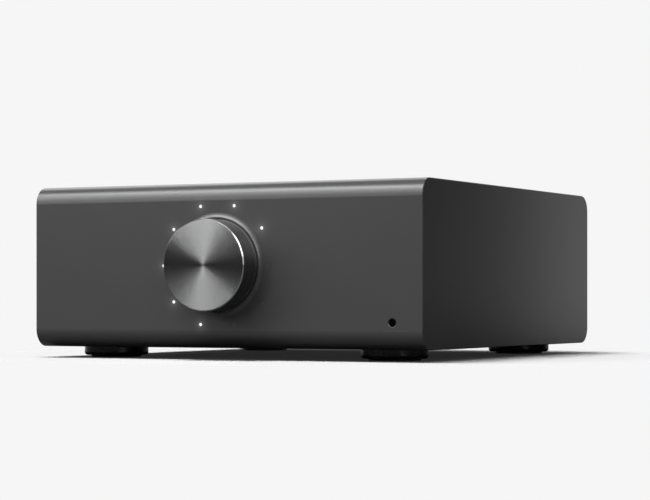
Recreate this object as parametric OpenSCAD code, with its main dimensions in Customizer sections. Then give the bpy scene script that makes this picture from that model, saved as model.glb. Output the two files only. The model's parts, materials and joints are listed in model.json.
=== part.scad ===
// Compact stereo receiver: an extruded sleeve closed by two end caps, with one large push-and-turn
// knob inside a ring of light points, four round feet and a rear panel of sockets.
// Millimetres. +Z is up, the front faces -Y, and the origin lies on the table under the sleeve's centre.

/* [Sleeve] */
// Width across both end caps
body_w = 210; // [205:1:260]
// Depth from front face to rear face
body_d = 219; // [197:1:240]
// Height without the feet
body_h = 79; // [75:1:100]
// Radius of the four long edges
corner_r = 8.5; // [6:0.5:10]
// Thickness of the front and rear walls
face_t = 4; // [3.5:0.25:5]
// Thickness of the top and the floor
wall_t = 3; // [2.5:0.25:4]

/* [End caps] */
// Thickness of an end cap's plate
cap_t = 4; // [3:0.5:6]
// Chamfer round an end cap's outer edge
cap_chamfer = 0.3; // [0.3:0.1:1.2]
// How far the spigot reaches into the sleeve
spigot_d = 5; // [4:0.5:7]
// Wall of the spigot
spigot_t = 2.5; // [2:0.25:3]
// Length of a fixing lug beyond the spigot
lug_l = 12; // [10:1:14]
// Width of a fixing lug
lug_w = 12; // [10:1:16]
// Height of a fixing lug
lug_h = 8; // [6:0.5:10]
// Distance of the lugs from the sleeve's middle
lug_y = 40; // [30:1:48]

/* [Feet] */
// Height of the feet, from the table to the sleeve
foot_h = 5.5; // [5:0.5:9]
// Diameter of a foot
foot_d = 32; // [26:1:36]
// Rounding of a foot's lower edge
foot_edge_r = 1.6; // [0.8:0.2:2]
// Distance of a foot's centre from the sides
foot_inset = 28; // [24:0.5:32]
// Distance of a foot's centre from the front and rear
foot_setback = 30.5; // [26:0.5:36]
// Diameter of the rubber pad in a foot
pad_d = 25; // [20:0.5:26]
// Thickness of the rubber pad
pad_t = 2; // [1.6:0.1:2.4]
// How far the pad stands below its foot
pad_proud = 1; // [0.6:0.1:1.4]

/* [Volume knob] */
// Offset of the knob's axis from the middle of the front
knob_x = -1.7; // [-20:0.1:20]
// Diameter of the knob
knob_d = 43.6; // [36:0.2:46]
// Distance of the knob's face from the front wall
knob_proud = 13.6; // [11:0.1:18]
// Chamfer round the knob's face
knob_chamfer = 0.5; // [0.4:0.1:1.2]
// Wall of the hollow knob
knob_wall = 3; // [2:0.25:4]
// Travel of the knob when it is pressed
knob_push = 0.6; // [0.4:0.1:0.8]
// Diameter of the flared collar where it meets the front wall
collar_d = 50; // [49:0.2:54]
// Height of the collar's rim over the front wall
collar_h = 0.8; // [0.6:0.1:1.8]
// Gap between the knob and the collar's rim
collar_gap = 0.5; // [0.4:0.1:1.8]
// Depth of the collar's seat in the front wall
collar_seat = 1.5; // [1.2:0.1:2]
// Diameter of the encoder's shaft
shaft_d = 6; // [5:0.5:6.5]

/* [Indicators and remote eye] */
// Number of light points round the knob
led_count = 10; // [6:1:14]
// Diameter of the circle of light points
led_circle_d = 59.2; // [57:0.2:64]
// Diameter of one light point
led_d = 1.5; // [1:0.1:2]
// Diameter of the remote control's eye
eye_d = 3.6; // [3:0.2:5]
// Distance of the eye from the body's right side
eye_inset = 15.3; // [13:0.1:20]
// Height of the eye over the sleeve's underside
eye_height = 12.6; // [12:0.1:18]

/* [Rear panel] */
// Thickness of the rear panel
panel_t = 2; // [1.5:0.25:2.5]
// Distance of the panel from each end of the sleeve
panel_side = 9.5; // [8:0.5:12]
// Distance of the panel from the start of the edge rounding
panel_edge = 1; // [0.5:0.5:3]
// Width of the ledge that carries the panel
ledge = 6; // [5:0.5:7]

/* [Speaker posts] */
// Distance of the outer posts from the panel's edge
post_inset = 20; // [18:1:24]
// Distance between the two pairs of posts
post_pitch_x = 24; // [20:1:28]
// Distance between the posts of a pair
post_pitch_z = 19; // [18:0.5:22]
// Diameter of a post's stud
stud_d = 6.2; // [5.8:0.1:7]
// Diameter of the plug hole in a stud
plug_d = 4; // [3.8:0.1:4.2]
// Diameter of a post's cap
post_cap_d = 14; // [13:0.5:16]
// Length of a post's cap
post_cap_l = 11.7; // [11:0.1:14]
// Travel of a cap along its thread
post_travel = 4; // [2:0.5:5]

/* [Rear sockets] */
// Distance of the mains inlet from the panel's edge
inlet_inset = 22; // [20:1:26]
// Distance from the mains inlet to the power switch
switch_pitch = 27; // [26:1:32]
// Tilt of the power switch's rocker to each side
rocker_tilt = 8; // [5:1:9]
// Distance between neighbouring phono sockets
phono_pitch = 15; // [13:0.5:17]
// Diameter of a phono socket's sleeve
phono_d = 8.3; // [8:0.1:8.6]
// Depth of the socket bodies behind the panel's outer face
socket_d = 12; // [12:0.5:15]

/* [Inside] */
// Gap between the front wall and the control board
front_gap = 6.5; // [6:0.25:8]
// Thickness of the circuit boards
board_t = 1.6; // [1:0.2:2]
// Thickness of the chassis tray
tray_t = 1.5; // [1:0.25:2]
// Height of the standoffs on the tray
standoff_h = 8; // [7:0.5:10]
// Number of fins on the heat sink
fin_count = 9; // [5:1:11]
// Height of the heat sink's fins
fin_h = 22; // [12:1:26]

/* [Hidden] */
$fn = 64;
slip = 0.15;          // clearance of pieces that slide into one another
running = 0.05;       // radial clearance of turning fits
thread_gap = 0.02;    // radial clearance of a screw in its thread
screw_d = 3;
screw_clear = 0.1;    // radial clearance of a screw in a plain hole
head_d = 5.6;
head_h = 1.8;
foot_screw_d = 4;
foot_head_d = 7;
foot_head_h = 1.4;

front_y = -body_d / 2;
rear_y = body_d / 2;
base_z = foot_h;
mid_z = base_z + body_h / 2;
floor_z = base_z + wall_t;
sleeve_w = body_w - 2 * cap_t;
inner_d = body_d - 2 * face_t;
inner_h = body_h - 2 * wall_t;
inner_r = corner_r - wall_t;
foot_x = body_w / 2 - foot_inset;
foot_y = body_d / 2 - foot_setback;
lug_x = sleeve_w / 2 - spigot_d - lug_l / 2;

// Heights of the knob's pieces are measured forwards from the front wall's face.
knob_r = knob_d / 2;
collar_r = collar_d / 2;
rim_r = knob_r + collar_gap;
rim_flat = 0.6;
collar_floor = 0.5;   // the collar's floor lies this far below the wall's face
knob_rear = collar_floor;
washer_t = 0.5;
nut_t = 2;
nut_flats = 10;
bushing_d = shaft_d + 1;
bushing_top = nut_t - collar_floor + washer_t + 0.5;
hub_rear = bushing_top + knob_push + 0.4;
hub_d = shaft_d + 7;
knob_web = 3.5;       // thickness of the knob's face
shaft_top = knob_proud - knob_web + 1;
flat_share = 0.5;     // the shaft's flat lies at this share of its radius
encoder_w = 12.5;
encoder_h = 13.5;
rotor_d = 10;
rotor_t = 3.2;
rotor_gap = 0.15;
rotor_mid = -face_t - front_gap / 2;

led_r = led_circle_d / 2;
led_size = [1.6, 0.8, 0.8];
pipe_flange_d = led_d + 1.8;
pipe_flange_t = 1;
pipe_recess = 0.1;
eye_x = body_w / 2 - eye_inset;
eye_z = base_z + eye_height;
eye_flange_d = eye_d + 2.4;
eye_recess = 0.5;
eye_chamfer = 0.35;
eye_hole_d = eye_d + 2 * running;

control_face = face_t + front_gap;    // depth of the control board's front face behind the wall's face
control_left = knob_x - led_r - 8;
control_right = eye_x + 4.5;
control_low = floor_z + 3.5;
control_high = base_z + body_h - wall_t - 3.5;
control_hole = 4.5;    // inset of the control board's holes
control_screws = [for (x = [control_left + control_hole, eye_x - 12],
    z = [control_low + control_hole, control_high - control_hole]) [x, z]];

panel_w = sleeve_w - 2 * panel_side;
panel_h = body_h - 2 * corner_r - 2 * panel_edge;
panel_r = 3;
panel_gap = 0.25;
panel_screws = [for (x = [-1, 0, 1], y = [-1, 1]) [x * (panel_w - ledge) / 2, y * (panel_h - ledge) / 2]];

// Places on the rear panel are given as seen from behind, from its centre, to the right and up.
post_x = [-panel_w / 2 + post_inset, -panel_w / 2 + post_inset + post_pitch_x];
posts = [for (x = post_x, y = [post_pitch_z / 2, -post_pitch_z / 2]) [x, y]];
bush_d = post_cap_d + 1;
bush_t = 3;
bush_spigot_d = stud_d + 2;
post_washer_t = 1.5;
post_nut_t = 2.5;
stud_out = bush_t + post_cap_l - 0.7;
stud_in = 16;
plug_depth = 8.5;
wire_hole_d = 2.2;
cap_gap = 0.3;
insert_d = stud_d + 3.6;
insert_l = 9;

inlet = [panel_w / 2 - inlet_inset, 0];
inlet_flange = [34, 16];
inlet_flange_t = 2.5;
inlet_body = [21, 13];
inlet_body_d = 13;
inlet_recess_d = 9.5;
pin_pitch = 8.6;
pin_d = 2.4;
inlet_lobe_d = 8.4;
inlet_waist = 6.6;
inlet_screw_x = 13;
tail = 17;            // how far the inlet's pins and the switch's tags reach behind the panel's face

switch = [inlet[0] - switch_pitch, 0];
bezel = [15, 21];
bezel_t = 2;
switch_body = [12.8, 19.2];
switch_body_d = 14;
rocker_w = 10;
rocker_half = 7.6;
rocker_pit = [rocker_w + 0.4, 17.2];
rocker_pit_d = 7.5;
rocker_axis = -2.5;
rocker_pin_d = 2.4;
rocker_pin_l = 0.9;

// The sockets stand between the posts and the switch, and share out the free width in these parts.
socket_parts = [11, 22, 27];
socket_from = post_x[1] + bush_d / 2;
socket_free = switch[0] - bezel[0] / 2 - socket_from - phono_pitch;
socket_part = socket_free / (socket_parts[0] + socket_parts[1] + socket_parts[2]);
phono_first = socket_from + socket_parts[0] * socket_part;
phono_x = [phono_first, phono_first + phono_pitch];
phono_out = 9.5;
phono_wall = 0.65;
phono_flange_d = phono_d + 3;
phono_flange_t = 1.2;
contact_d = 4;
contact_hole_d = 3.2;

optical_w = 12;
optical_low = 5.8;
optical_high = 7.2;
optical_rise = 0.65;   // over the ledge under it
phono_rise = 1.2;      // between the optical socket and the phono flange over it
optical = [phono_x[0], -panel_h / 2 + ledge + optical_rise + optical_low];
phono_low = optical[1] + optical_high + phono_rise + phono_flange_d / 2;
phonos = [for (x = phono_x, y = [phono_low + phono_pitch, phono_low]) [x, y]];
optical_proud = 0.8;
optical_mouth = 8.6;
optical_lip = 0.3;
optical_pit_d = 10.4;
flap_w = optical_mouth - 0.6;
flap_l = 9.1;
flap_t = 0.8;
flap_pin_d = 1.2;
flap_pin_l = 1;
flap_axis = [optical_mouth / 2 + 0.9, -0.9];

network = [phono_x[1] + socket_parts[1] * socket_part, -8];
network_size = [16, 14];
network_proud = 1;
network_mouth = [11.8, 8.2];
network_notch = [6, 2.2];
network_pit_d = 11;

antenna = [network[0], 16];
antenna_d = 9.4;
antenna_out = 10.5;
antenna_hex_flats = 11;
antenna_hex_t = 2;
antenna_neck_d = 8;

board_rim = 3;        // how far the input board reaches beyond its sockets
input_left = optical[0] - optical_w / 2 - board_rim;
input_right = network[0] + network_size[0] / 2 + board_rim;
input_low = optical[1] - optical_low - board_rim;
input_high = antenna[1] + antenna_neck_d / 2 + board_rim;

tray_w = 2 * (sleeve_w / 2 - spigot_d - lug_l - 0.5);
tray_front = front_y + control_face + board_t + 5;
tray_rear = rear_y - face_t - inner_r - 0.5;
tray_top = floor_z + tray_t;
board_z = tray_top + standoff_h;
board_top = board_z + board_t;
board_split = 6;
board_w = (tray_w - board_split) / 2;
board_front = tray_front + 4;
board_rear = rear_y - socket_d - board_t - 16;
board_d = board_rear - board_front;
board_y = (board_front + board_rear) / 2;
supply_x = -(board_w + board_split) / 2;
amp_x = (board_w + board_split) / 2;
hole_inset = [5, 26]; // the boards' holes keep clear of the foot screws
board_hole_x = board_w / 2 - hole_inset[0];
board_hole_y = board_d / 2 - hole_inset[1];
vent_count = 8;
vent_slot = [2.5, 36];
vent_pitch = 6;
lead_d = 2.2;
lead_bend = 5;

sink_w = 56;
sink_l = 44;
sink_base = 4;
fin_t = 1.6;
chip_size = [20, 15, 4];
chip_pitch = 28;

// Cans are given by diameter and height, inductors by side and height.
large_can = [20, 32];
small_can = [10, 18];
rail_can = [16, 26];
can_gap = 4;
inductor = [13, 9];
inductor_r = 2;
inductor_gap = 5;
core_size = [36, 12, 30];
core_leg = 8;
core_window = 10;
core_at = [supply_x - board_w * 0.17, board_y + board_d * 0.04, board_top];
bobbin_d = 26;
winding_h = 18;
ribbon_w = 20;
ribbon_t = 1;
ribbon_bend = 6;
plug_size = [22, 5, 6];

// Shared shapes

module rounded_rect(w, h, r) {
    square([w - 2 * r, h], center = true);
    square([w, h - 2 * r], center = true);
    for (x = [-1, 1], y = [-1, 1])
        translate([x * (w / 2 - r), y * (h / 2 - r)]) circle(r);
}

// A profile drawn in depth and height, extruded across the body's width.
module across(length) {
    translate([0, 0, mid_z]) rotate([90, 0, 90]) linear_extrude(length, center = true) children();
}

// Children are drawn on the front wall's face round the knob's axis, with z pointing forwards.
module on_front() {
    translate([knob_x, front_y, mid_z]) rotate([90, 0, 0]) children();
}

// Children are drawn on the front wall's face at a place of the body, with z pointing forwards.
module on_front_at(x, z) {
    translate([x, front_y, z]) rotate([90, 0, 0]) children();
}

// Children are drawn on the rear face as seen from behind, with z pointing backwards.
module on_rear() {
    translate([0, rear_y, mid_z]) rotate([90, 0, 180]) children();
}

module tube(d_out, d_in, h) {
    difference() {
        cylinder(d = d_out, h = h);
        translate([0, 0, -1]) cylinder(d = d_in, h = h + 2);
    }
}

module hexagon(flats, h) {
    cylinder(d = flats / cos(30), h = h, $fn = 6);
}

// A pan-head screw that points along -z, with its head on the plane z = 0.
module pan_screw(d, hd, hh, length) {
    difference() {
        union() {
            cylinder(d1 = hd, d2 = hd * 0.8, h = hh);
            translate([0, 0, -length]) cylinder(d = d, h = length);
        }
        translate([0, 0, hh * 0.4]) hexagon(d * 0.6, hh);
    }
}

// A round with a flat on its +y side.
module d_shape(d) {
    intersection() {
        circle(d = d);
        translate([-d, -d]) square([2 * d, d + d / 2 * flat_share]);
    }
}

module at_feet() {
    for (x = [-1, 1], y = [-1, 1]) translate([x * foot_x, y * foot_y, 0]) children();
}

module at_lugs() {
    for (x = [-1, 1], y = [-1, 1]) translate([x * lug_x, y * lug_y, 0]) children();
}

module at_leds() {
    for (i = [0 : led_count - 1]) rotate(i * 360 / led_count) translate([led_r, 0, 0]) children();
}

module at_each(places) {
    for (p = places) translate([p[0], p[1], 0]) children();
}

// Sleeve and end caps

module sleeve_bore() {
    rounded_rect(inner_d, inner_h, inner_r);
}

module vent_fields() {
    for (x = [supply_x, amp_x], i = [0 : vent_count - 1])
        translate([x + (i - (vent_count - 1) / 2) * vent_pitch, board_y])
            rounded_rect(vent_slot[0], vent_slot[1], vent_slot[0] / 2 - 0.01);
}

module shell() {
    color("#4b4b4d") difference() {
        across(sleeve_w) rounded_rect(body_d, body_h, corner_r);
        across(sleeve_w + 2) sleeve_bore();
        on_front() {
            translate([0, 0, -collar_seat]) cylinder(d = collar_d + 2 * running, h = collar_seat + 1);
            translate([0, 0, -face_t - 1]) cylinder(d = bushing_d + 2 * screw_clear, h = face_t + 1);
            at_leds() translate([0, 0, -face_t - 1]) cylinder(d = led_d + 2 * running, h = face_t + 2);
        }
        on_front_at(eye_x, eye_z) {
            translate([0, 0, -face_t - 1]) cylinder(d = eye_hole_d, h = face_t + 2);
            translate([0, 0, -eye_chamfer])
                cylinder(d1 = eye_hole_d, d2 = eye_hole_d + 4 * eye_chamfer, h = 2 * eye_chamfer);
        }
        on_rear() {
            translate([0, 0, -panel_t]) linear_extrude(panel_t + 1)
                rounded_rect(panel_w + 2 * panel_gap, panel_h + 2 * panel_gap, panel_r + panel_gap);
            translate([0, 0, -face_t - 1]) linear_extrude(face_t + 1)
                rounded_rect(panel_w - 2 * ledge, panel_h - 2 * ledge, panel_r);
            at_each(panel_screws) translate([0, 0, -face_t - 1])
                cylinder(d = screw_d + 2 * thread_gap, h = face_t);
        }
        at_feet() translate([0, 0, base_z - 1]) cylinder(d = foot_screw_d + 2 * screw_clear, h = wall_t + 2);
        at_lugs() translate([0, 0, base_z]) {
            translate([0, 0, -1]) cylinder(d = screw_d + 2 * screw_clear, h = wall_t + 2);
            translate([0, 0, -0.01])
                cylinder(d1 = head_d + 2 * screw_clear, d2 = screw_d + 2 * screw_clear, h = head_h);
        }
        translate([0, 0, base_z - 1]) linear_extrude(wall_t + 2) vent_fields();
    }
}

// A plate with its thickness along z, round corners, and a chamfer round its upper edge.
module chamfered_plate(w, h, r, t, c) {
    for (x = [-1, 1], y = [-1, 1]) translate([x * (w / 2 - r), y * (h / 2 - r), 0]) {
        cylinder(r = r, h = t - c);
        translate([0, 0, t - c]) cylinder(r1 = r, r2 = r - c, h = c);
    }
    rotate([90, 0, 0]) linear_extrude(h - 2 * r, center = true) bevelled_bar(w, t, c);
    rotate([90, 0, 90]) linear_extrude(w - 2 * r, center = true) bevelled_bar(h, t, c);
}

module bevelled_bar(w, t, c) {
    polygon([[-w / 2, 0], [w / 2, 0], [w / 2, t - c], [w / 2 - c, t], [c - w / 2, t], [-w / 2, t - c]]);
}

// The right-hand cap; the left one is its mirror image.
module end_cap() {
    color("#3a3a3c") difference() {
        union() {
            translate([sleeve_w / 2, 0, mid_z]) rotate([90, 0, 90])
                chamfered_plate(body_d, body_h, corner_r, cap_t, cap_chamfer);
            translate([sleeve_w / 2 - spigot_d, 0, mid_z]) rotate([90, 0, 90])
                linear_extrude(spigot_d) difference() {
                    rounded_rect(inner_d - 2 * slip, inner_h - 2 * slip, inner_r - slip);
                    rounded_rect(inner_d - 2 * slip - 2 * spigot_t, inner_h - 2 * slip - 2 * spigot_t,
                        inner_r - slip - spigot_t);
                }
            for (y = [-1, 1])
                translate([sleeve_w / 2 - spigot_d - lug_l, y * lug_y - lug_w / 2, floor_z + slip])
                    cube([lug_l + spigot_d, lug_w, lug_h]);
        }
        at_lugs() translate([0, 0, floor_z]) cylinder(d = screw_d + 2 * thread_gap, h = lug_h - 1);
    }
}

module left_end_cap() {
    mirror([1, 0, 0]) end_cap();
}

module right_end_cap() {
    end_cap();
}

module end_cap_screws() {
    color("#1c1c1e") at_lugs() translate([0, 0, base_z]) difference() {
        union() {
            cylinder(d1 = head_d, d2 = screw_d, h = head_h - 0.05);
            cylinder(d = screw_d, h = wall_t + lug_h - 2);
        }
        translate([0, 0, -1]) hexagon(screw_d * 0.6, 2);
    }
}

// Feet

module foot() {
    color("#0e0e0f") rotate_extrude() difference() {
        translate([0, pad_proud]) union() {
            square([foot_d / 2 - foot_edge_r, foot_h - pad_proud]);
            translate([0, foot_edge_r]) square([foot_d / 2, foot_h - pad_proud - foot_edge_r]);
            translate([foot_d / 2 - foot_edge_r, foot_edge_r]) circle(foot_edge_r);
        }
        translate([-1, -1]) square([1 + pad_d / 2 + running, 1 + pad_t]);
        translate([-1, -1]) square([1 + foot_head_d / 2 + slip, 1 + pad_t + foot_head_h + slip]);
        translate([-1, -1]) square([1 + foot_screw_d / 2 + screw_clear, foot_h + 2]);
    }
}

module foot_front_left() {
    translate([-foot_x, -foot_y, 0]) foot();
}

module foot_front_right() {
    translate([foot_x, -foot_y, 0]) foot();
}

module foot_rear_left() {
    translate([-foot_x, foot_y, 0]) foot();
}

module foot_rear_right() {
    translate([foot_x, foot_y, 0]) foot();
}

module foot_pads() {
    color("#1a1a1a") at_feet() cylinder(d = pad_d, h = pad_t);
}

module foot_screws() {
    color("#8d8f92") at_feet() translate([0, 0, pad_t + foot_head_h + slip]) mirror([0, 0, 1])
        pan_screw(foot_screw_d, foot_head_d, foot_head_h, tray_top + 2 - pad_t - foot_head_h - slip);
}

// Knob, collar and encoder

module knob_section() {
    difference() {
        polygon([[0, knob_rear], [knob_r, knob_rear], [knob_r, knob_proud - knob_chamfer],
            [knob_r - knob_chamfer, knob_proud], [0, knob_proud]]);
        translate([hub_d / 2, knob_rear - 1])
            square([knob_r - knob_wall - hub_d / 2, knob_proud - knob_web - knob_rear + 1]);
        translate([-1, knob_rear - 1]) square([hub_d / 2 + 1.01, hub_rear - knob_rear + 1]);
    }
}

module volume_knob() {
    color("#6f6f71") on_front() difference() {
        rotate_extrude() knob_section();
        translate([0, 0, knob_rear]) linear_extrude(shaft_top - knob_rear + 0.2)
            d_shape(shaft_d + 2 * thread_gap);
    }
}

// The flare is a concave arc that leaves the wall's face without a step and climbs to the rim.
module collar_section() {
    flare_in = rim_r + rim_flat;
    flare_run = collar_r - flare_in;
    flare_arc = (flare_run * flare_run + collar_h * collar_h) / (2 * collar_h);
    translate([bushing_d / 2 + screw_clear, -collar_seat])
        square([collar_r - bushing_d / 2 - screw_clear, collar_seat - collar_floor]);
    translate([rim_r, -collar_seat]) square([collar_r - rim_r, collar_seat]);
    translate([rim_r, -0.01]) square([rim_flat, collar_h + 0.01]);
    difference() {
        translate([flare_in - 0.01, -0.01]) square([flare_run + 0.01, collar_h + 0.01]);
        translate([collar_r, flare_arc]) circle(flare_arc, $fn = 128);
    }
}

module knob_collar() {
    color("#58585a") on_front() rotate_extrude() collar_section();
}

module encoder_washer() {
    color("#b9b9b4") on_front() translate([0, 0, -collar_floor])
        tube(nut_flats + 1, bushing_d + 2 * screw_clear, washer_t);
}

module encoder_nut() {
    color("#b9b9b4") on_front() translate([0, 0, washer_t - collar_floor]) difference() {
        hexagon(nut_flats, nut_t);
        translate([0, 0, -1]) cylinder(d = bushing_d + 2 * thread_gap, h = nut_t + 2);
    }
}

module encoder_housing() {
    color("#2f3133") on_front() difference() {
        union() {
            translate([-encoder_w / 2, -encoder_h / 2, -control_face])
                cube([encoder_w, encoder_h, front_gap]);
            translate([0, 0, -face_t - 1]) cylinder(d = bushing_d, h = face_t + 1 + bushing_top);
        }
        translate([0, 0, rotor_mid])
            cylinder(d = shaft_d + 2 * running, h = face_t + front_gap + bushing_top);
        translate([0, 0, rotor_mid - rotor_t / 2 - rotor_gap])
            cylinder(d = rotor_d + 2 * rotor_gap, h = rotor_t + 2 * rotor_gap);
    }
}

module encoder_rotor() {
    color("#d8d4c6") on_front() translate([0, 0, rotor_mid - rotor_t / 2]) difference() {
        cylinder(d = rotor_d, h = rotor_t);
        translate([0, 0, -1]) linear_extrude(rotor_t + 2) d_shape(shaft_d + 2 * running);
    }
}

// The shaft is flatted inside the rotor, which it slides through, and inside the knob, and round between them.
module encoder_shaft() {
    bottom = rotor_mid - rotor_t / 2 + knob_push;
    round_from = rotor_mid + rotor_t / 2 + knob_push + rotor_gap;
    color("#c6c8cb") on_front() {
        translate([0, 0, bottom]) linear_extrude(round_from - bottom) d_shape(shaft_d);
        translate([0, 0, round_from]) cylinder(d = shaft_d, h = bushing_top + 0.2 - round_from);
        translate([0, 0, bushing_top + 0.1]) linear_extrude(shaft_top - bushing_top - 0.1) d_shape(shaft_d);
    }
}

// Control board behind the front wall

module control_board() {
    color("#1f4a33") difference() {
        translate([control_left, front_y + control_face, control_low])
            cube([control_right - control_left, board_t, control_high - control_low]);
        for (p = control_screws) on_front_at(p[0], p[1])
            translate([0, 0, -control_face - board_t - 1])
                cylinder(d = screw_d + 2 * screw_clear, h = board_t + 2);
    }
}

module light_pipes() {
    color("#f4f6f8") on_front() at_leds() {
        translate([0, 0, -face_t - 0.5]) cylinder(d = led_d, h = face_t + 0.5 - pipe_recess);
        translate([0, 0, -face_t - pipe_flange_t]) cylinder(d = pipe_flange_d, h = pipe_flange_t);
        translate([0, 0, -control_face + led_size[2] + 0.3])
            cylinder(d = led_d + 0.8, h = front_gap - led_size[2] - 0.3 - pipe_flange_t + 0.1);
    }
}

module indicator_leds() {
    color("#fff3c4") on_front() at_leds()
        translate([-led_size[0] / 2, -led_size[1] / 2, -control_face]) cube(led_size);
}

module ir_window() {
    color("#120a0c") on_front_at(eye_x, eye_z) {
        translate([0, 0, -face_t - 0.5]) cylinder(d = eye_d, h = face_t + 0.5 - eye_recess);
        translate([0, 0, -face_t - 1.2]) cylinder(d = eye_flange_d, h = 1.2);
    }
}

module ir_receiver() {
    color("#161214") on_front_at(eye_x, eye_z) {
        translate([-2.6, -3.4, -control_face]) cube([5.2, 6.8, front_gap - 3]);
        translate([0, 0, -face_t - 3.2]) cylinder(d1 = 4, d2 = 3, h = 1.5);
    }
}

// Rear panel and its sockets

module at_posts() {
    at_each(posts) children();
}

module inlet_mouth() {
    for (x = [-1, 1]) translate([x * pin_pitch / 2, 0]) circle(d = inlet_lobe_d);
    square([pin_pitch, inlet_waist], center = true);
}

module rear_panel() {
    color("#29292b") on_rear() translate([0, 0, -panel_t]) linear_extrude(panel_t) difference() {
        rounded_rect(panel_w, panel_h, panel_r);
        at_each(panel_screws) circle(d = screw_d + 2 * screw_clear);
        at_posts() circle(d = bush_spigot_d + 2 * slip);
        at_each(phonos) circle(d = phono_d + 2 * slip);
        translate(antenna) circle(d = antenna_neck_d + 2 * slip);
        translate(inlet) {
            rounded_rect(inlet_body[0] + 2 * slip, inlet_body[1] + 2 * slip, 2);
            for (x = [-1, 1]) translate([x * inlet_screw_x, 0]) circle(d = screw_d + 2 * thread_gap);
        }
        translate(switch) rounded_rect(switch_body[0] + 2 * slip, switch_body[1] + 2 * slip, 1);
        translate([optical[0] - optical_w / 2 - slip, optical[1] - optical_low - slip])
            square([optical_w + 2 * slip, optical_low + optical_high + 2 * slip]);
        translate(network) square([network_size[0] + 2 * slip, network_size[1] + 2 * slip], center = true);
    }
}

module rear_panel_screws() {
    color("#1c1c1e") on_rear() {
        at_each(panel_screws) pan_screw(screw_d, head_d, head_h, face_t + 1);
        translate(inlet) for (x = [-1, 1]) translate([x * inlet_screw_x, 0, inlet_flange_t])
            pan_screw(screw_d, head_d, head_h, inlet_flange_t + panel_t + 1);
    }
}

module mains_inlet() {
    color("#111112") on_rear() translate(inlet) difference() {
        union() {
            linear_extrude(inlet_flange_t) rounded_rect(inlet_flange[0], inlet_flange[1], 4);
            translate([0, 0, -inlet_body_d]) linear_extrude(inlet_body_d)
                rounded_rect(inlet_body[0], inlet_body[1], 2);
        }
        translate([0, 0, -inlet_recess_d]) linear_extrude(inlet_recess_d + inlet_flange_t + 1) inlet_mouth();
        for (x = [-1, 1]) {
            translate([x * pin_pitch / 2, 0, -inlet_body_d - 1])
                cylinder(d = pin_d + 2 * thread_gap, h = inlet_body_d);
            translate([x * inlet_screw_x, 0, -1])
                cylinder(d = screw_d + 2 * screw_clear, h = inlet_flange_t + 2);
        }
    }
}

module mains_pins() {
    color("#c9a24a") on_rear() translate(inlet) for (x = [-1, 1])
        translate([x * pin_pitch / 2, 0, -tail]) {
            cylinder(d = pin_d, h = tail);
            translate([0, 0, tail]) cylinder(d1 = pin_d, d2 = pin_d * 0.5, h = 0.6);
        }
}

module power_switch_housing() {
    color("#101011") on_rear() translate(switch) difference() {
        union() {
            linear_extrude(bezel_t) rounded_rect(bezel[0], bezel[1], 1.5);
            translate([0, 0, -switch_body_d]) linear_extrude(switch_body_d)
                rounded_rect(switch_body[0], switch_body[1], 1);
            for (y = [-1, 1]) translate([-2.4, y * 5 - 0.4, -tail])
                cube([4.8, 0.8, tail - switch_body_d + 1]);
        }
        translate([0, 0, (bezel_t + 1 - rocker_pit_d) / 2])
            cube([rocker_pit[0], rocker_pit[1], rocker_pit_d + bezel_t + 1], center = true);
        translate([0, 0, rocker_axis]) rotate([0, 90, 0])
            cylinder(d = rocker_pin_d + 2 * running, h = rocker_pit[0] + 2 * rocker_pin_l, center = true);
    }
}

// The rocker's section round its axis, with its two faces meeting in a shallow valley.
module rocker_section() {
    polygon([[-rocker_half, 5.6], [0, 4.4], [rocker_half, 5.6], [rocker_half, 2.4],
        [3.4, -2.2], [-3.4, -2.2], [-rocker_half, 2.4]]);
}

module power_rocker() {
    color("#18181a") on_rear() translate([switch[0], switch[1], rocker_axis]) rotate([-rocker_tilt, 0, 0]) {
        rotate([90, 0, 90]) linear_extrude(rocker_w, center = true) rocker_section();
        rotate([0, 90, 0])
            cylinder(d = rocker_pin_d, h = rocker_pit[0] + 2 * rocker_pin_l - 2 * running, center = true);
    }
}

module post_bushes() {
    color("#151516") on_rear() at_posts() {
        tube(bush_d, stud_d + 2 * running, bush_t);
        translate([0, 0, -panel_t]) tube(bush_spigot_d, stud_d + 2 * running, panel_t + 0.01);
        translate([0, 0, -panel_t - post_washer_t]) tube(bush_d, stud_d + 2 * running, post_washer_t - 0.01);
    }
}

module post_studs() {
    color("#c9a24a") on_rear() at_posts() difference() {
        translate([0, 0, -stud_in]) cylinder(d = stud_d, h = stud_in + stud_out);
        translate([0, 0, stud_out - plug_depth]) cylinder(d = plug_d, h = plug_depth + 1);
        translate([0, 0, bush_t + wire_hole_d / 2 + 0.1]) rotate([0, 90, 0])
            cylinder(d = wire_hole_d, h = stud_d + 2, center = true);
    }
}

module post_nuts() {
    depth = panel_t + post_washer_t + post_nut_t;
    color("#b9b9b4") on_rear() at_posts() translate([0, 0, -depth]) difference() {
        hexagon(nut_flats, post_nut_t);
        translate([0, 0, -1]) cylinder(d = stud_d + 2 * thread_gap, h = post_nut_t + 2);
    }
}

module post_insert(i) {
    color("#c9a24a") on_rear() translate([posts[i][0], posts[i][1], bush_t + cap_gap])
        tube(insert_d, stud_d + 2 * running, insert_l);
}

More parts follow.
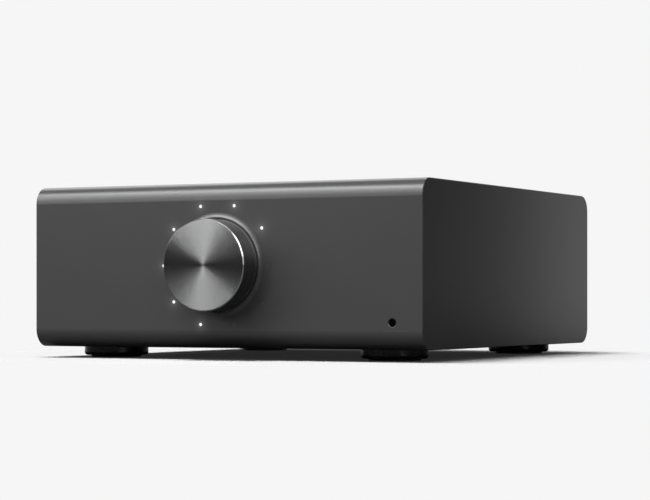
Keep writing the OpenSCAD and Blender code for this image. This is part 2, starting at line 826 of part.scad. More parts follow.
module post_cap(i) {
    grip_count = 12;
    tint = i % 2 == 0 ? "#9c1c1c" : "#151516";
    color(tint) on_rear() translate([posts[i][0], posts[i][1], bush_t + cap_gap]) difference() {
        union() {
            cylinder(d = post_cap_d, h = post_cap_l - cap_gap - 1);
            translate([0, 0, post_cap_l - cap_gap - 1]) cylinder(d1 = post_cap_d, d2 = post_cap_d - 2, h = 1);
        }
        translate([0, 0, -1]) cylinder(d = insert_d + 2 * running, h = insert_l + 1 + 2 * running);
        translate([0, 0, 1]) cylinder(d = stud_d + 0.4, h = post_cap_l);
        for (k = [0 : grip_count - 1]) rotate(k * 360 / grip_count)
            translate([post_cap_d / 2 + 0.5, 0, 1.5]) cylinder(d = 2.2, h = post_cap_l);
    }
}

module at_phonos(row) {
    at_each([for (i = [0 : len(phonos) - 1]) if (row == "all" || i % 2 == row) phonos[i]]) children();
}

module phono_sleeves() {
    color("#c9a24a") on_rear() at_phonos("all") difference() {
        union() {
            cylinder(d = phono_d, h = phono_out);
            cylinder(d = phono_flange_d, h = phono_flange_t);
            translate([0, 0, -socket_d]) cylinder(d = phono_d, h = socket_d + 0.01);
        }
        translate([0, 0, -3]) cylinder(d = phono_d - 2 * phono_wall, h = phono_out + 4);
        translate([0, 0, -socket_d - 1]) cylinder(d = contact_d + 1, h = socket_d);
    }
}

module phono_insulator() {
    translate([0, 0, -3])
        tube(phono_d - 2 * phono_wall - 2 * thread_gap, contact_d + 2 * thread_gap, phono_out + 2.2);
}

module phono_insulators_left() {
    color("#e9e7e2") on_rear() at_phonos(0) phono_insulator();
}

module phono_insulators_right() {
    color("#a81c1c") on_rear() at_phonos(1) phono_insulator();
}

module phono_contacts() {
    color("#c9a24a") on_rear() at_phonos("all") difference() {
        translate([0, 0, -socket_d]) cylinder(d = contact_d, h = socket_d + phono_out - 1);
        translate([0, 0, 0]) cylinder(d = contact_hole_d, h = phono_out);
    }
}

module optical_socket() {
    color("#131314") on_rear() translate(optical) difference() {
        translate([-optical_w / 2, -optical_low, -socket_d])
            cube([optical_w, optical_low + optical_high, socket_d + optical_proud]);
        translate([-optical_mouth / 2, -optical_mouth / 2, -optical_pit_d])
            cube([optical_mouth, optical_mouth, optical_pit_d + optical_proud + 1]);
        translate([-optical_mouth / 2, optical_mouth / 2 - 0.01, -optical_pit_d])
            cube([optical_mouth, 1.7, optical_pit_d - optical_lip]);
        translate([0, flap_axis[0], flap_axis[1]]) rotate([0, 90, 0])
            cylinder(d = flap_pin_d + 2 * running, h = optical_mouth + 2 * flap_pin_l, center = true);
    }
}

module optical_flap() {
    color("#0c0c0d") on_rear() translate([optical[0], optical[1] + flap_axis[0], flap_axis[1]]) {
        translate([-flap_w / 2, -flap_l, -flap_t / 2]) cube([flap_w, flap_l, flap_t]);
        rotate([0, 90, 0])
            cylinder(d = flap_pin_d, h = optical_mouth + 2 * flap_pin_l - 2 * running, center = true);
    }
}

module network_socket() {
    color("#b4b6b8") on_rear() translate(network) difference() {
        translate([-network_size[0] / 2, -network_size[1] / 2, -socket_d])
            cube([network_size[0], network_size[1], socket_d + network_proud]);
        translate([-network_mouth[0] / 2, -network_mouth[1] / 2 + 1, -network_pit_d])
            cube([network_mouth[0], network_mouth[1], network_pit_d + network_proud + 1]);
        translate([-network_notch[0] / 2, -network_mouth[1] / 2 + 1 - network_notch[1], -network_pit_d])
            cube([network_notch[0], network_notch[1] + 1, network_pit_d + network_proud + 1]);
    }
}

module antenna_socket() {
    color("#b4b6b8") on_rear() translate(antenna) difference() {
        union() {
            hexagon(antenna_hex_flats, antenna_hex_t);
            cylinder(d = antenna_d, h = antenna_out);
            translate([0, 0, -socket_d]) cylinder(d = antenna_neck_d, h = socket_d + 0.01);
        }
        translate([0, 0, antenna_out - 7]) cylinder(d = 2, h = 8);
    }
}

module input_board() {
    color("#1f4a33") on_rear() translate([input_left, input_low, -socket_d - board_t])
        cube([input_right - input_left, input_high - input_low, board_t]);
}

// Chassis tray, boards and what stands on them

module at_board_holes() {
    for (cx = [supply_x, amp_x], x = [-1, 1], y = [-1, 1])
        translate([cx + x * board_hole_x, board_y + y * board_hole_y, 0]) children();
}

module chassis_tray() {
    color("#9a9c9f") difference() {
        translate([-tray_w / 2, tray_front, floor_z]) cube([tray_w, tray_rear - tray_front, tray_t]);
        translate([0, 0, floor_z - 1]) linear_extrude(tray_t + 2) vent_fields();
        at_feet() translate([0, 0, floor_z - 1]) cylinder(d = foot_screw_d + 2 * thread_gap, h = tray_t + 2);
    }
}

module board_standoffs() {
    color("#c2b27a") {
        at_board_holes() translate([0, 0, tray_top]) difference() {
            hexagon(5.5, standoff_h);
            translate([0, 0, 1]) cylinder(d = screw_d + 2 * thread_gap, h = standoff_h);
        }
        for (p = control_screws) on_front_at(p[0], p[1]) translate([0, 0, -control_face]) difference() {
            hexagon(5.5, front_gap);
            translate([0, 0, -1]) cylinder(d = screw_d + 2 * thread_gap, h = front_gap);
        }
    }
}

module board_screws() {
    color("#b9b9b4") {
        at_board_holes() translate([0, 0, board_top]) pan_screw(screw_d, head_d, head_h, board_t + 5);
        for (p = control_screws) on_front_at(p[0], p[1]) translate([0, 0, -control_face - board_t])
            mirror([0, 0, 1]) pan_screw(screw_d, head_d, head_h, board_t + 4);
    }
}

module board(x) {
    difference() {
        translate([x - board_w / 2, board_front, board_z]) cube([board_w, board_d, board_t]);
        at_board_holes() translate([0, 0, board_z - 1]) cylinder(d = screw_d + 2 * screw_clear, h = board_t + 2);
    }
}

module power_supply_board() {
    color("#1f4a33") board(supply_x);
}

module amplifier_board() {
    color("#1f4a33") board(amp_x);
}

// The ferrite frame stands on its edge, and its middle leg carries the winding.
module transformer_core() {
    color("#35363a") translate(core_at) difference() {
        translate([-core_size[0] / 2, -core_size[1] / 2, 0]) cube(core_size);
        for (x = [-1, 1]) translate([x * (core_leg + core_window) / 2, 0, core_size[2] / 2])
            cube([core_window, core_size[1] + 2, winding_h + 2 * slip], center = true);
    }
}

module transformer_winding() {
    color("#d5b03a") translate(core_at) translate([0, 0, core_size[2] / 2]) difference() {
        cylinder(d = bobbin_d, h = winding_h, center = true);
        cube([core_leg + 2 * slip, core_size[1] + 2 * slip, winding_h + 2], center = true);
    }
}

// A can with a rolled crimp near its foot.
module capacitor(d, h) {
    rotate_extrude() difference() {
        square([d / 2, h]);
        translate([d / 2 + 0.4, 3]) circle(1, $fn = 24);
        translate([0, h - 0.3]) square([d / 2 - 1, 1]);
    }
}

module supply_capacitors() {
    large_pitch = large_can[0] + can_gap;
    small_pitch = small_can[0] + can_gap;
    rail_pitch = rail_can[0] + 2 * can_gap;
    color("#20242c") translate([0, 0, board_top]) {
        for (i = [-1, 1]) translate([supply_x + board_w * 0.29, board_y + can_gap + i * large_pitch / 2, 0])
            capacitor(large_can[0], large_can[1]);
        for (i = [-1 : 1])
            translate([supply_x - board_w * 0.145 + i * small_pitch, board_front + board_d * 0.14, 0])
                capacitor(small_can[0], small_can[1]);
        for (i = [-1, 1]) translate([amp_x + i * rail_pitch / 2, board_front + board_d * 0.166, 0])
            capacitor(rail_can[0], rail_can[1]);
    }
}

module amplifier_chips() {
    color("#141416") for (i = [-1, 1])
        translate([amp_x + i * chip_pitch / 2 - chip_size[0] / 2, board_y - chip_size[1] / 2, board_top])
            cube(chip_size);
}

module heat_sink() {
    pitch = (sink_w - fin_t) / (fin_count - 1);
    color("#2b2c2e") translate([amp_x, board_y, board_top + chip_size[2]]) rotate([90, 0, 0])
        linear_extrude(sink_l, center = true) {
            translate([-sink_w / 2, 0]) square([sink_w, sink_base]);
            for (i = [0 : fin_count - 1]) translate([-sink_w / 2 + i * pitch, 0])
                square([fin_t, sink_base + fin_h]);
        }
}

module output_inductors() {
    pitch = inductor[0] + inductor_gap;
    color("#3c3e42") for (i = [0 : 3])
        translate([amp_x + (i - 1.5) * pitch, board_rear - hole_inset[1] - inductor[0], board_top])
            linear_extrude(inductor[1]) rounded_rect(inductor[0], inductor[0], inductor_r);
}

// A quarter of a ring round the x axis, between the upward direction and the one that side gives along y.
module quarter(side, reach, width) {
    intersection() {
        rotate([0, 90, 0]) children();
        translate([-width / 2, side > 0 ? 0 : -reach, 0]) cube([width, reach, reach]);
    }
}

// A wire that leaves towards the front, turns down and ends on a board's top.
module lead(x, y, z, run) {
    translate([x, y, z]) rotate([90, 0, 0]) cylinder(d = lead_d, h = run);
    translate([x, y - run, z - lead_bend]) quarter(-1, 2 * lead_bend, 2 * lead_d)
        rotate_extrude() translate([lead_bend, 0]) circle(d = lead_d);
    translate([x, y - run - lead_bend, board_top]) cylinder(d = lead_d, h = z - lead_bend - board_top);
}

// A flat cable from the control board's back, down to a plug on the amplifier board.
module ribbon() {
    x = amp_x;
    z = board_top + 24;
    y0 = front_y + control_face + board_t;
    y1 = board_front + 9;
    translate([x - plug_size[0] / 2, y0, z - plug_size[2] / 2]) cube(plug_size);
    translate([x - plug_size[0] / 2, y1 - plug_size[2] / 2, board_top])
        cube([plug_size[0], plug_size[2], plug_size[1]]);
    translate([x - ribbon_w / 2, y0 + plug_size[1], z - ribbon_t / 2])
        cube([ribbon_w, y1 - ribbon_bend - y0 - plug_size[1], ribbon_t]);
    translate([x - ribbon_w / 2, y1 - ribbon_t / 2, board_top + plug_size[1]])
        cube([ribbon_w, ribbon_t, z - ribbon_bend - board_top - plug_size[1]]);
    translate([x, y1 - ribbon_bend, z - ribbon_bend]) quarter(1, 2 * ribbon_bend, 2 * ribbon_w)
        translate([0, 0, -ribbon_w / 2])
            tube(2 * ribbon_bend + ribbon_t, 2 * ribbon_bend - ribbon_t, ribbon_w);
}

module internal_wiring() {
    color("#7d2020") {
        for (p = posts) lead(-p[0], rear_y - stud_in, mid_z + p[1], p[1] > 0 ? 17 : 12);
        for (x = [-1, 1]) lead(-inlet[0] + x * pin_pitch / 2, rear_y - tail, mid_z + inlet[1], 12);
        for (y = [-1, 1]) lead(-switch[0], rear_y - tail, mid_z + switch[1] + y * 5, y > 0 ? 17 : 12);
    }
    color("#8a8c90") ribbon();
}

shell();
left_end_cap();
right_end_cap();
end_cap_screws();
rear_panel();
rear_panel_screws();
chassis_tray();
foot_front_left();
foot_front_right();
foot_rear_left();
foot_rear_right();
foot_pads();
foot_screws();
volume_knob();
knob_collar();
encoder_shaft();
encoder_rotor();
encoder_housing();
encoder_nut();
encoder_washer();
control_board();
light_pipes();
indicator_leds();
ir_window();
ir_receiver();
mains_inlet();
mains_pins();
power_switch_housing();
power_rocker();
post_studs();
post_bushes();
post_nuts();
post_insert(0);  // post_insert_1
post_insert(1);  // post_insert_2
post_insert(2);  // post_insert_3
post_insert(3);  // post_insert_4
post_cap(0);  // post_cap_1
post_cap(1);  // post_cap_2
post_cap(2);  // post_cap_3
post_cap(3);  // post_cap_4
phono_sleeves();
phono_insulators_left();
phono_insulators_right();
phono_contacts();
optical_socket();
optical_flap();
network_socket();
antenna_socket();
input_board();
power_supply_board();
transformer_core();
transformer_winding();
supply_capacitors();
amplifier_board();
heat_sink();
amplifier_chips();
output_inductors();
board_standoffs();
board_screws();
internal_wiring();
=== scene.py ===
import json
import math
import bpy
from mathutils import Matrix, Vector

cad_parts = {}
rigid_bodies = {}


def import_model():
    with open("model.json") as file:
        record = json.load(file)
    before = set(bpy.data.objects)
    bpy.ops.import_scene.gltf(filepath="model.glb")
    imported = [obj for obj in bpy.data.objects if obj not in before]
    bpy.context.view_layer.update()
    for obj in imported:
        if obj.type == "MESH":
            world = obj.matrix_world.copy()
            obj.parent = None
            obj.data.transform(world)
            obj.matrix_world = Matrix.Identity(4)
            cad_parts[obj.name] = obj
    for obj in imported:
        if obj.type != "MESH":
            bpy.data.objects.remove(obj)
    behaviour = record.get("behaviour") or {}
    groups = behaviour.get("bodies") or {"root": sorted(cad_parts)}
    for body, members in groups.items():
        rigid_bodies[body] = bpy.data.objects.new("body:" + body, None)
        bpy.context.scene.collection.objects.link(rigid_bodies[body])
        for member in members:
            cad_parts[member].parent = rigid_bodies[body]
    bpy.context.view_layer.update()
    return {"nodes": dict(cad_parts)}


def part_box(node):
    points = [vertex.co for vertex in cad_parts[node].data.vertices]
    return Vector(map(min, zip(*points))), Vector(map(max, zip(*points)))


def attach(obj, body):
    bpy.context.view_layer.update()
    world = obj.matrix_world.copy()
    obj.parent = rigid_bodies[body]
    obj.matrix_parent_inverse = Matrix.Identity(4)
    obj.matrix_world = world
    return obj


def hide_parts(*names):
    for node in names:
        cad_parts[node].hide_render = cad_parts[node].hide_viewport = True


for leftover in list(bpy.data.objects):
    bpy.data.objects.remove(leftover)

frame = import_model()
nodes = frame["nodes"]
scene = bpy.context.scene
scene.view_settings.view_transform = "Standard"
print("frame loaded,", len(nodes), "nodes")

# camera, fitted to the edges of the body and the circle of light points
cameraSet = {"place": (0.50487, -1.00764, 0.02879), "turn": 27.6071, "lens": 120.1541, "sensor": 36,
             "across": 0.06, "lift": 0.07607, "near": 0.01}
bpy.ops.object.select_all(action="DESELECT")
bpy.ops.object.camera_add(location=cameraSet["place"],
                          rotation=(math.radians(90), 0, math.radians(cameraSet["turn"])))
camera = bpy.context.object
camera.name = "photoCamera"
camera.data.lens = cameraSet["lens"]
camera.data.sensor_width = cameraSet["sensor"]
camera.data.shift_x = cameraSet["across"]
camera.data.shift_y = cameraSet["lift"]
camera.data.clip_start = cameraSet["near"]
scene.camera = camera
print("camera placed")


# small helpers for the node trees
def startMaterial(name):
    material = bpy.data.materials.new(name)
    material.use_nodes = True
    return material, material.node_tree, material.node_tree.nodes["Principled BSDF"]


def addNode(tree, kind, settings, inputs):
    made = tree.nodes.new(kind)
    for key, value in settings.items():
        setattr(made, key, value)
    for key, value in inputs.items():
        if isinstance(value, bpy.types.NodeSocket):
            tree.links.new(value, made.inputs[key])
        else:
            made.inputs[key].default_value = value
    return made


def calc(tree, operation, first, second=0.0, third=0.0):
    return addNode(tree, "ShaderNodeMath", {"operation": operation}, {0: first, 1: second, 2: third}).outputs[0]


def distance(tree, first, second):
    return calc(tree, "SQRT", calc(tree, "ADD", calc(tree, "MULTIPLY", first, first),
                                   calc(tree, "MULTIPLY", second, second)))


def objectPlace(tree):
    return addNode(tree, "ShaderNodeTexCoord", {}, {}).outputs["Object"]


def grain(tree, scale, detail=2.0, stretch=(1, 1, 1)):
    mapped = addNode(tree, "ShaderNodeMapping", {}, {"Vector": objectPlace(tree), "Scale": stretch}).outputs[0]
    return addNode(tree, "ShaderNodeTexNoise", {}, {"Vector": mapped, "Scale": scale, "Detail": detail}).outputs[0]


def between(tree, value, fromLow, fromHigh, toLow, toHigh, smooth=False):
    kind = "SMOOTHSTEP" if smooth else "LINEAR"
    made = addNode(tree, "ShaderNodeMapRange", {"interpolation_type": kind, "clamp": True},
                   {"Value": value, "From Min": fromLow, "From Max": fromHigh, "To Min": toLow, "To Max": toHigh})
    return made.outputs["Result"]


def tint(tree, share, first, second):
    return addNode(tree, "ShaderNodeMix", {"data_type": "RGBA"}, {0: share, 6: first, 7: second}).outputs[2]


def mixValue(tree, share, first, second):
    return addNode(tree, "ShaderNodeMix", {"data_type": "FLOAT"}, {0: share, 2: first, 3: second}).outputs[0]


def shade(colour, factor):
    return (colour[0] * factor, colour[1] * factor, colour[2] * factor, 1)


def grey(level):
    return (level, level, level, 1)


def spreadTone(tree, share, tone, spread):
    return tint(tree, share, shade(tone, 1 - spread), shade(tone, 1 + spread))


def wire(tree, shader, name, value):
    tree.links.new(value, shader.inputs[name])


# roughness from low to high over the span that the noise mostly covers
def roughFrom(tree, shader, noise, rough, span=(0.3, 0.7)):
    wire(tree, shader, "Roughness", between(tree, noise, *span, *rough))


def bumpFrom(tree, shader, height, strength, depth):
    bump = addNode(tree, "ShaderNodeBump", {}, {"Height": height, "Strength": strength, "Distance": depth})
    wire(tree, shader, "Normal", bump.outputs[0])


def dress(material, *names):
    for name in names:
        mesh = nodes[name].data
        mesh.materials.clear()
        mesh.materials.append(material)


# ring of ten light points round the knob, lit from 36 to 252 degrees
ringSet = {"knobX": -0.0017, "knobZ": 0.045, "reach": 0.0296, "step": 36, "litFrom": 18, "litTo": 270}


def ringPlace(tree):
    split = addNode(tree, "ShaderNodeSeparateXYZ", {}, {0: objectPlace(tree)})
    across = calc(tree, "SUBTRACT", split.outputs[0], ringSet["knobX"])
    up = calc(tree, "SUBTRACT", split.outputs[2], ringSet["knobZ"])
    return across, split.outputs[1], up


def ringTurn(tree, across, up):
    turn = calc(tree, "FLOORED_MODULO", calc(tree, "ARCTAN2", up, across), math.tau)
    isLit = calc(tree, "MULTIPLY", calc(tree, "GREATER_THAN", turn, math.radians(ringSet["litFrom"])),
                 calc(tree, "LESS_THAN", turn, math.radians(ringSet["litTo"])))
    return turn, isLit


# shell and end caps: bead-blasted dark anodising, with a painted glow round each lit point on the front, emitted by
# the panel itself
anodisedSet = {"tone": (0.0565, 0.0565, 0.0577), "spread": 0.14, "rough": (0.67, 0.77), "coatRough": 0.30,
               "coatIor": 1.5, "grain": 5200, "cloud": 55, "cloudShare": 0.4, "bump": 0.10, "depth": 0.00003,
               "frontY": -0.1092, "paintedGlow": 0.10, "paintedGlowReach": 0.0016}
anodisedGrey, tree, shader = startMaterial("anodisedGrey")
shader.inputs["Metallic"].default_value = 1
shader.inputs["Coat Weight"].default_value = 1
shader.inputs["Coat Roughness"].default_value = anodisedSet["coatRough"]
shader.inputs["Coat IOR"].default_value = anodisedSet["coatIor"]
blast = grain(tree, anodisedSet["grain"], 3)
cloud = grain(tree, anodisedSet["cloud"])
mixed = calc(tree, "ADD", calc(tree, "MULTIPLY", blast, 1 - anodisedSet["cloudShare"]),
             calc(tree, "MULTIPLY", cloud, anodisedSet["cloudShare"]))
wire(tree, shader, "Base Color", spreadTone(tree, mixed, anodisedSet["tone"], anodisedSet["spread"]))
roughFrom(tree, shader, blast, anodisedSet["rough"], (0.25, 0.75))
bumpFrom(tree, shader, blast, anodisedSet["bump"], anodisedSet["depth"])
across, depthIn, up = ringPlace(tree)
turn, isLit = ringTurn(tree, across, up)
reach = distance(tree, across, up)
step = math.radians(ringSet["step"])
offTurn = calc(tree, "SUBTRACT", calc(tree, "FLOORED_MODULO", calc(tree, "ADD", turn, step / 2), step), step / 2)
along = calc(tree, "SUBTRACT", calc(tree, "MULTIPLY", reach, calc(tree, "COSINE", offTurn)), ringSet["reach"])
aside = calc(tree, "MULTIPLY", reach, calc(tree, "SINE", offTurn))
away = distance(tree, along, aside)  # from the nearest light point
# painted glow: a halo of light round each lit point, emitted by the front panel's own surface
fade = calc(tree, "EXPONENT", calc(tree, "MULTIPLY", away, -1 / anodisedSet["paintedGlowReach"]))
onFront = calc(tree, "LESS_THAN", depthIn, anodisedSet["frontY"])
paintedGlow = calc(tree, "MULTIPLY", calc(tree, "MULTIPLY", fade, isLit),
            calc(tree, "MULTIPLY", onFront, anodisedSet["paintedGlow"]))
shader.inputs["Emission Color"].default_value = grey(1)
wire(tree, shader, "Emission Strength", paintedGlow)
dress(anodisedGrey, "shell", "left_end_cap", "right_end_cap")

# the collar is turned, not extruded: the same anodising with a glossier skin
collarSet = {"coatIor": 1.57}
collarGrey = anodisedGrey.copy()
collarGrey.name = "collarGrey"
shader = collarGrey.node_tree.nodes[shader.name]
shader.inputs["Coat IOR"].default_value = collarSet["coatIor"]
dress(collarGrey, "knob_collar")
print("sleeve finished")

# knob: face turned in fine circles, bright cut chamfer, darker wall that gets rougher at its root, where its colour
# is also painted darker as shade beside the collar
knobSet = {"axis": (ringSet["knobX"], 0, ringSet["knobZ"]), "faceY": -0.12295, "faceReach": 0.02128,
           "wallReach": 0.02172, "rootFrom": -0.1135, "rootTo": -0.1105,
           "faceTone": (0.51, 0.51, 0.515), "faceSpread": 0.2, "faceRough": (0.21, 0.27), "grooves": 9000,
           "cutTone": (0.55, 0.55, 0.554), "cutRough": 0.16,
           "wallTone": (0.20, 0.20, 0.202), "wallSpread": 0.15, "wallRough": 0.27, "wallGrain": 700,
           "wallStretch": (0.1, 1, 0.1), "rootShadeTone": (0.16, 0.16, 0.16), "rootRough": 0.50,
           "brushed": 0.9, "brushTurn": 0.25, "bump": 0.05, "depth": 0.00002}
turnedGrey, tree, shader = startMaterial("turnedGrey")
shader.inputs["Metallic"].default_value = 1
shader.inputs["Anisotropic"].default_value = knobSet["brushed"]
shader.inputs["Anisotropic Rotation"].default_value = knobSet["brushTurn"]
offset = addNode(tree, "ShaderNodeVectorMath", {"operation": "SUBTRACT"},
                 {0: objectPlace(tree), 1: knobSet["axis"]}).outputs[0]
cross = addNode(tree, "ShaderNodeVectorMath", {"operation": "CROSS_PRODUCT"}, {0: (0, 1, 0), 1: offset}).outputs[0]
toWorld = addNode(tree, "ShaderNodeVectorTransform", {"vector_type": "VECTOR", "convert_from": "OBJECT",
                                                     "convert_to": "WORLD"}, {0: cross}).outputs[0]
wire(tree, shader, "Tangent", toWorld)
split = addNode(tree, "ShaderNodeSeparateXYZ", {}, {0: offset})
reach = distance(tree, split.outputs[0], split.outputs[2])
onFace = calc(tree, "MULTIPLY", calc(tree, "LESS_THAN", split.outputs[1], knobSet["faceY"]),
              calc(tree, "LESS_THAN", reach, knobSet["faceReach"]))
onWall = calc(tree, "GREATER_THAN", reach, knobSet["wallReach"])
nearRoot = between(tree, split.outputs[1], knobSet["rootFrom"], knobSet["rootTo"], 0, 1, True)
circles = addNode(tree, "ShaderNodeTexNoise", {"noise_dimensions": "1D"},
                  {"W": reach, "Scale": knobSet["grooves"], "Detail": 3}).outputs[0]
streaks = grain(tree, knobSet["wallGrain"], 2, knobSet["wallStretch"])
faceTone = spreadTone(tree, circles, knobSet["faceTone"], knobSet["faceSpread"])
# painted shade: the wall's colour darkens towards its root, where it sinks into the collar
wallTone = tint(tree, nearRoot, spreadTone(tree, streaks, knobSet["wallTone"], knobSet["wallSpread"]),
                shade(knobSet["rootShadeTone"], 1))
edgeTone = tint(tree, onWall, shade(knobSet["cutTone"], 1), wallTone)
wire(tree, shader, "Base Color", tint(tree, onFace, edgeTone, faceTone))
faceRough = between(tree, circles, 0.2, 0.8, *knobSet["faceRough"])
wallRough = between(tree, nearRoot, 0, 1, knobSet["wallRough"], knobSet["rootRough"])
edgeRough = mixValue(tree, onWall, knobSet["cutRough"], wallRough)
wire(tree, shader, "Roughness", mixValue(tree, onFace, edgeRough, faceRough))
bumpFrom(tree, shader, calc(tree, "MULTIPLY", circles, onFace), knobSet["bump"], knobSet["depth"])
dress(turnedGrey, "volume_knob")
print("knob finished")

# light points: bright at the face where they are lit, dull metal elsewhere
pointSet = {"strength": 1.0, "faceY": -0.1080, "offTone": (0.105, 0.105, 0.107), "spread": 0.1,
            "rough": (0.36, 0.46), "grain": 4000}
lightPoint, tree, shader = startMaterial("lightPoint")
shader.inputs["Metallic"].default_value = 1
shader.inputs["Emission Color"].default_value = grey(1)
across, depthIn, up = ringPlace(tree)
isLit = ringTurn(tree, across, up)[1]
frost = grain(tree, pointSet["grain"])
wire(tree, shader, "Base Color", spreadTone(tree, frost, pointSet["offTone"], pointSet["spread"]))
roughFrom(tree, shader, frost, pointSet["rough"], (0.2, 0.8))
atFace = calc(tree, "LESS_THAN", depthIn, pointSet["faceY"])
wire(tree, shader, "Emission Strength",
     calc(tree, "MULTIPLY", calc(tree, "MULTIPLY", isLit, atFace), pointSet["strength"]))
dress(lightPoint, "light_pipes")

# what the plainer finishes share, unless their own line says otherwise
plainSet = {"metal": 0, "coat": 0, "coatRough": 0.06, "mirror": 0.5, "stretch": (1, 1, 1), "broad": 60,
            "spread": 0.12, "roughSpread": 0.05, "depth": 0.00004}


# one builder for them: colour and roughness that vary a little, over a fine grain
def plainFinish(name, ownLook):
    look = {**plainSet, **ownLook}
    material, tree, shader = startMaterial(name)
    shader.inputs["Metallic"].default_value = look["metal"]
    shader.inputs["Coat Weight"].default_value = look["coat"]
    shader.inputs["Coat Roughness"].default_value = look["coatRough"]
    shader.inputs["Specular IOR Level"].default_value = look["mirror"]
    fine = grain(tree, look["grain"], 3, look["stretch"])
    broad = grain(tree, look["broad"])
    both = calc(tree, "ADD", calc(tree, "MULTIPLY", fine, 0.5), calc(tree, "MULTIPLY", broad, 0.5))
    wire(tree, shader, "Base Color", spreadTone(tree, both, look["tone"], look["spread"]))
    rough = (look["rough"] - look["roughSpread"], look["rough"] + look["roughSpread"])
    roughFrom(tree, shader, both, rough, (0.25, 0.75))
    bumpFrom(tree, shader, fine, look["bump"], look["depth"])
    return material


finishSet = {
    "satinBlack": {"tone": (0.011, 0.011, 0.012), "rough": 0.42, "grain": 2600, "bump": 0.15},
    "footPlastic": {"tone": (0.008, 0.008, 0.009), "rough": 0.27, "grain": 2200, "bump": 0.06},
    "eyeGlass": {"tone": (0.002, 0.002, 0.002), "rough": 0.12, "grain": 900, "bump": 0.02, "mirror": 0.12},
    "padRubber": {"tone": (0.020, 0.020, 0.020), "rough": 0.34, "grain": 1800, "bump": 0.3},
    "blackOxide": {"tone": (0.022, 0.022, 0.024), "rough": 0.36, "grain": 3200, "bump": 0.12, "metal": 0.7},
    "zincPlate": {"tone": (0.56, 0.57, 0.58), "rough": 0.3, "grain": 900, "bump": 0.08, "metal": 1, "spread": 0.08},
    "powderCoat": {"tone": (0.026, 0.026, 0.028), "rough": 0.5, "grain": 1500, "bump": 0.5, "depth": 0.0001},
    "goldPlate": {"tone": (0.80, 0.56, 0.22), "rough": 0.2, "grain": 1200, "bump": 0.04, "metal": 1, "spread": 0.06},
    "redGloss": {"tone": (0.36, 0.012, 0.012), "rough": 0.24, "grain": 900, "bump": 0.04, "coat": 0.4},
    "blackGloss": {"tone": (0.006, 0.006, 0.007), "rough": 0.14, "grain": 900, "bump": 0.02, "coat": 0.5},
    "whiteMoulding": {"tone": (0.74, 0.73, 0.70), "rough": 0.34, "grain": 1100, "bump": 0.05, "spread": 0.05},
    "sintered": {"tone": (0.05, 0.05, 0.054), "rough": 0.6, "grain": 2400, "bump": 0.4, "depth": 0.0001},
    "blackAnodising": {"tone": (0.035, 0.035, 0.037), "rough": 0.4, "grain": 2200, "bump": 0.15, "metal": 1,
                       "stretch": (1, 0.04, 1)},
    "chipEpoxy": {"tone": (0.014, 0.014, 0.015), "rough": 0.62, "grain": 3000, "bump": 0.3},
    "flapPlastic": {"tone": (0.016, 0.016, 0.017), "rough": 0.5, "grain": 2000, "bump": 0.15},
}
finishes = {name: plainFinish(name, look) for name, look in finishSet.items()}
dress(finishes["footPlastic"], "foot_front_left", "foot_front_right", "foot_rear_left", "foot_rear_right")
dress(finishes["eyeGlass"], "ir_window")
dress(finishes["satinBlack"], "mains_inlet", "power_switch_housing", "power_rocker", "post_bushes",
      "optical_socket", "encoder_housing")
dress(finishes["flapPlastic"], "optical_flap")
dress(finishes["blackOxide"], "end_cap_screws", "rear_panel_screws")
dress(finishes["zincPlate"], "foot_screws", "encoder_nut", "encoder_washer", "encoder_shaft", "post_nuts",
      "board_screws", "chassis_tray", "network_socket")
dress(finishes["powderCoat"], "rear_panel")
dress(finishes["goldPlate"], "mains_pins", "post_studs", "post_insert_1", "post_insert_2", "post_insert_3",
      "post_insert_4", "phono_sleeves", "phono_contacts", "board_standoffs")
dress(finishes["redGloss"], "post_cap_1", "post_cap_3", "phono_insulators_right")
dress(finishes["blackGloss"], "post_cap_2", "post_cap_4", "ir_receiver")
dress(finishes["whiteMoulding"], "phono_insulators_left", "encoder_rotor")
dress(finishes["sintered"], "transformer_core", "output_inductors")
dress(finishes["blackAnodising"], "heat_sink")
dress(finishes["chipEpoxy"], "amplifier_chips")

# circuit boards: green mask over copper tracks, with tinned pads
boardSet = {"mask": (0.012, 0.075, 0.035), "track": (0.03, 0.14, 0.06), "tin": (0.55, 0.55, 0.52),
            "tracks": 240, "trackShift": 0.37, "trackWide": 0.12, "trackLong": 2.6, "trackRow": 0.45,
            "pads": 260, "padSize": 0.16, "padScatter": 0.7, "rough": (0.28, 0.42), "grain": 500,
            "bump": 0.2, "depth": 0.00005}
boardGreen, tree, shader = startMaterial("boardGreen")
tracks = addNode(tree, "ShaderNodeTexBrick", {"offset": boardSet["trackShift"]}, {
    "Vector": objectPlace(tree), "Scale": boardSet["tracks"], "Mortar Size": boardSet["trackWide"],
    "Brick Width": boardSet["trackLong"], "Row Height": boardSet["trackRow"], "Color1": shade(boardSet["mask"], 1),
    "Color2": shade(boardSet["mask"], 1.2), "Mortar": shade(boardSet["track"], 1)})
cells = addNode(tree, "ShaderNodeTexVoronoi", {}, {
    "Vector": objectPlace(tree), "Scale": boardSet["pads"], "Randomness": boardSet["padScatter"]})
isPad = calc(tree, "LESS_THAN", cells.outputs["Distance"], boardSet["padSize"])
wire(tree, shader, "Base Color", tint(tree, isPad, tracks.outputs["Color"], shade(boardSet["tin"], 1)))
roughFrom(tree, shader, grain(tree, boardSet["grain"]), boardSet["rough"])
bumpFrom(tree, shader, tracks.outputs["Fac"], boardSet["bump"], boardSet["depth"])
dress(boardGreen, "control_board", "input_board", "power_supply_board", "amplifier_board")

